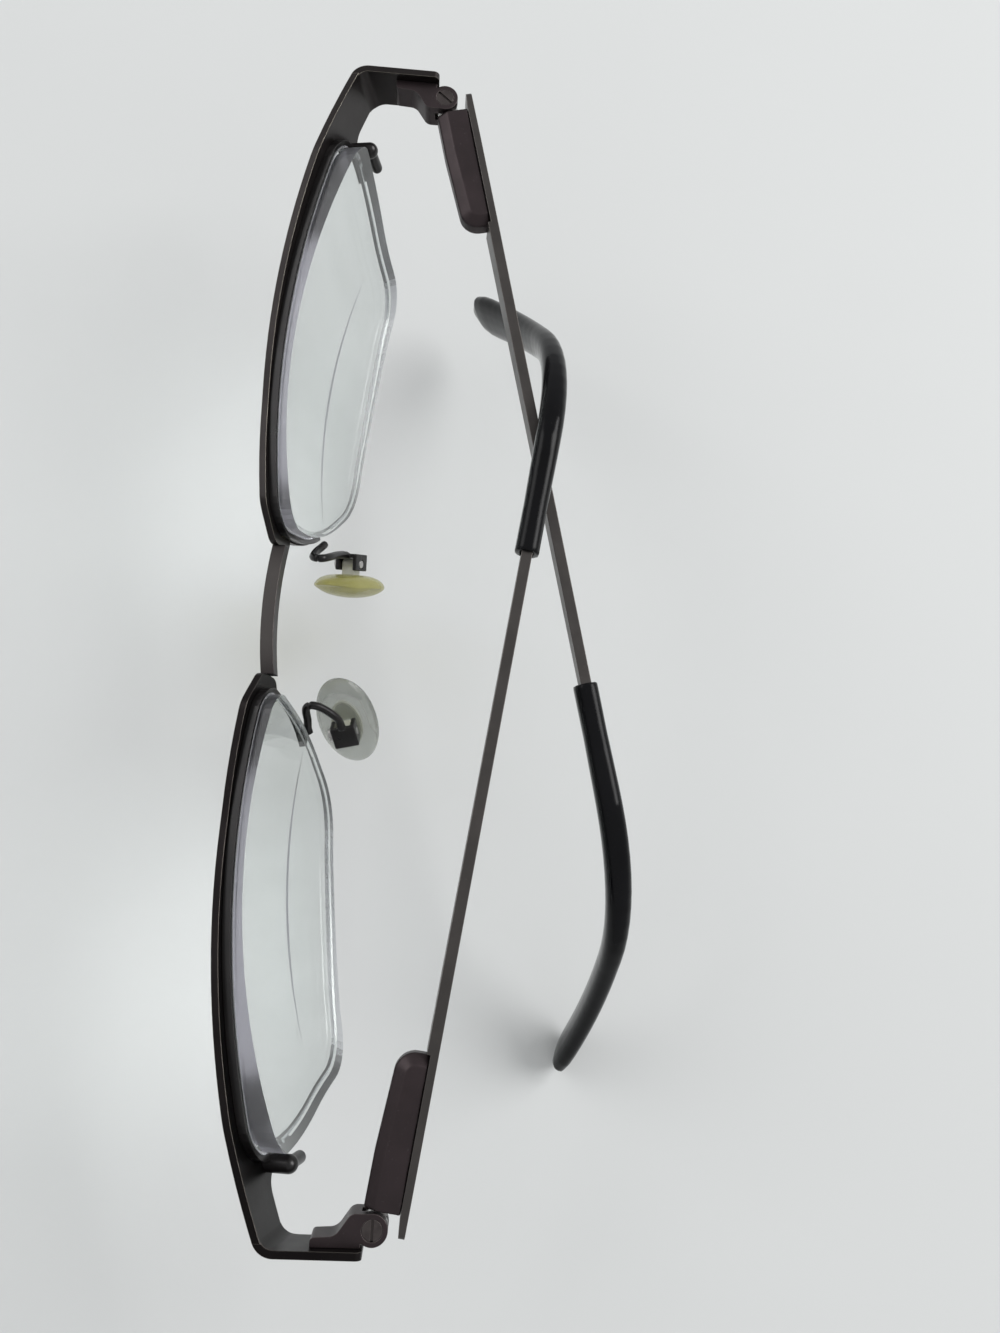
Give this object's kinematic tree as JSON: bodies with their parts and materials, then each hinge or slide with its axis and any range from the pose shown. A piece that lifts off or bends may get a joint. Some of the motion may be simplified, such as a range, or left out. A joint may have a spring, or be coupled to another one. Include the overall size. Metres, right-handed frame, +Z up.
{
  "type": "eyeglass frame",
  "caption": "Semi-rimless metal eyeglass frame, folded, with cord-held bifocal lenses, rocking nose pads on wire arms, sprung temple hinges and black sleeved tips.",
  "frame": {"origin": "middle of the bridge bar, halfway through its height and its thickness", "axes": "+X towards the wearer's left, +Y backwards, the way the opened temples run, +Z up; stored folded, with the left temple over the right near its bend and its tip under the right bar"},
  "size_m": [0.1372, 0.0476, 0.0402],
  "materials": {
    "bridge_metal": "satin, brown-grey",
    "front_metal": "semi-gloss, dark brown",
    "rim_metal": "satin, black",
    "liner_nylon": "clear nylon",
    "lens": "polished faces, ground edge",
    "cord_nylon": "clear nylon",
    "steel": "fine brushed",
    "insert_plastic": "translucent",
    "pad_aged": "aged yellow silicone",
    "pad_clear": "clear silicone",
    "hinge_metal": "satin, mauve-brown",
    "screw_metal": "satin, brown-grey",
    "temple_metal": "semi-gloss, dark brown",
    "tip_plastic": "polished black"
  },
  "bodies": {
    "front_frame": {"bridge": "bridge_metal", "right_brow_plate": "front_metal", "left_brow_plate": "front_metal", "right_eyewire": "rim_metal", "left_eyewire": "rim_metal", "right_rim_liner": "liner_nylon", "left_rim_liner": "liner_nylon", "right_lens": "lens", "left_lens": "lens", "right_lens_cord": "cord_nylon", "left_lens_cord": "cord_nylon", "right_pad_arm": "rim_metal", "left_pad_arm": "rim_metal", "right_pad_screw": "steel", "left_pad_screw": "steel", "right_hinge_leaf": "hinge_metal", "left_hinge_leaf": "hinge_metal", "right_hinge_screw": "screw_metal", "left_hinge_screw": "screw_metal"},
    "right_carriage": {"right_hinge_carriage": "steel", "right_hinge_spring": "steel"},
    "right_temple": {"right_hinge_housing": "hinge_metal", "right_spring_stop": "steel", "right_temple_arm": "temple_metal", "right_temple_tip": "tip_plastic"},
    "right_pad": {"right_nose_pad": "pad_aged", "right_pad_insert": "insert_plastic"},
    "left_carriage": {"left_hinge_carriage": "steel", "left_hinge_spring": "steel"},
    "left_temple": {"left_hinge_housing": "hinge_metal", "left_spring_stop": "steel", "left_temple_arm": "temple_metal", "left_temple_tip": "tip_plastic"},
    "left_pad": {"left_nose_pad": "pad_clear", "left_pad_insert": "insert_plastic"}
  },
  "joints": [
    {"name": "right_temple_fold", "type": "hinge", "parent": "front_frame", "child": "right_carriage", "pos_m": [-0.066, 0.01715, 0.00645], "axis": [0.0436, 0, 0.999], "range_deg": [0, 76.4]},
    {"name": "right_spring_travel", "type": "slide", "parent": "right_carriage", "child": "right_temple", "axis": [0.971, 0.2351, -0.0424], "range_m": [0, 0.0012], "stiffness_N_per_m": 3000, "deforming": ["right_hinge_spring"]},
    {"name": "right_pad_rock", "type": "hinge", "parent": "front_frame", "child": "right_pad", "pos_m": [-0.01104, 0.0079, -0.01524], "axis": [0.1208, 0.8988, 0.4214], "range_deg": [-10, 10]},
    {"name": "left_temple_fold", "type": "hinge", "parent": "front_frame", "child": "left_carriage", "pos_m": [0.066, 0.01715, 0.00645], "axis": [-0.0279, 0, -0.9996], "range_deg": [0, 82.2]},
    {"name": "left_spring_travel", "type": "slide", "parent": "left_carriage", "child": "left_temple", "axis": [-0.9904, 0.1357, 0.0277], "range_m": [0, 0.0012], "stiffness_N_per_m": 3000, "deforming": ["left_hinge_spring"]},
    {"name": "left_pad_rock", "type": "hinge", "parent": "front_frame", "child": "left_pad", "pos_m": [0.01234, 0.009, -0.0134], "axis": [-0.2048, 0.9613, 0.1844], "range_deg": [-10, 10]}
  ]
}
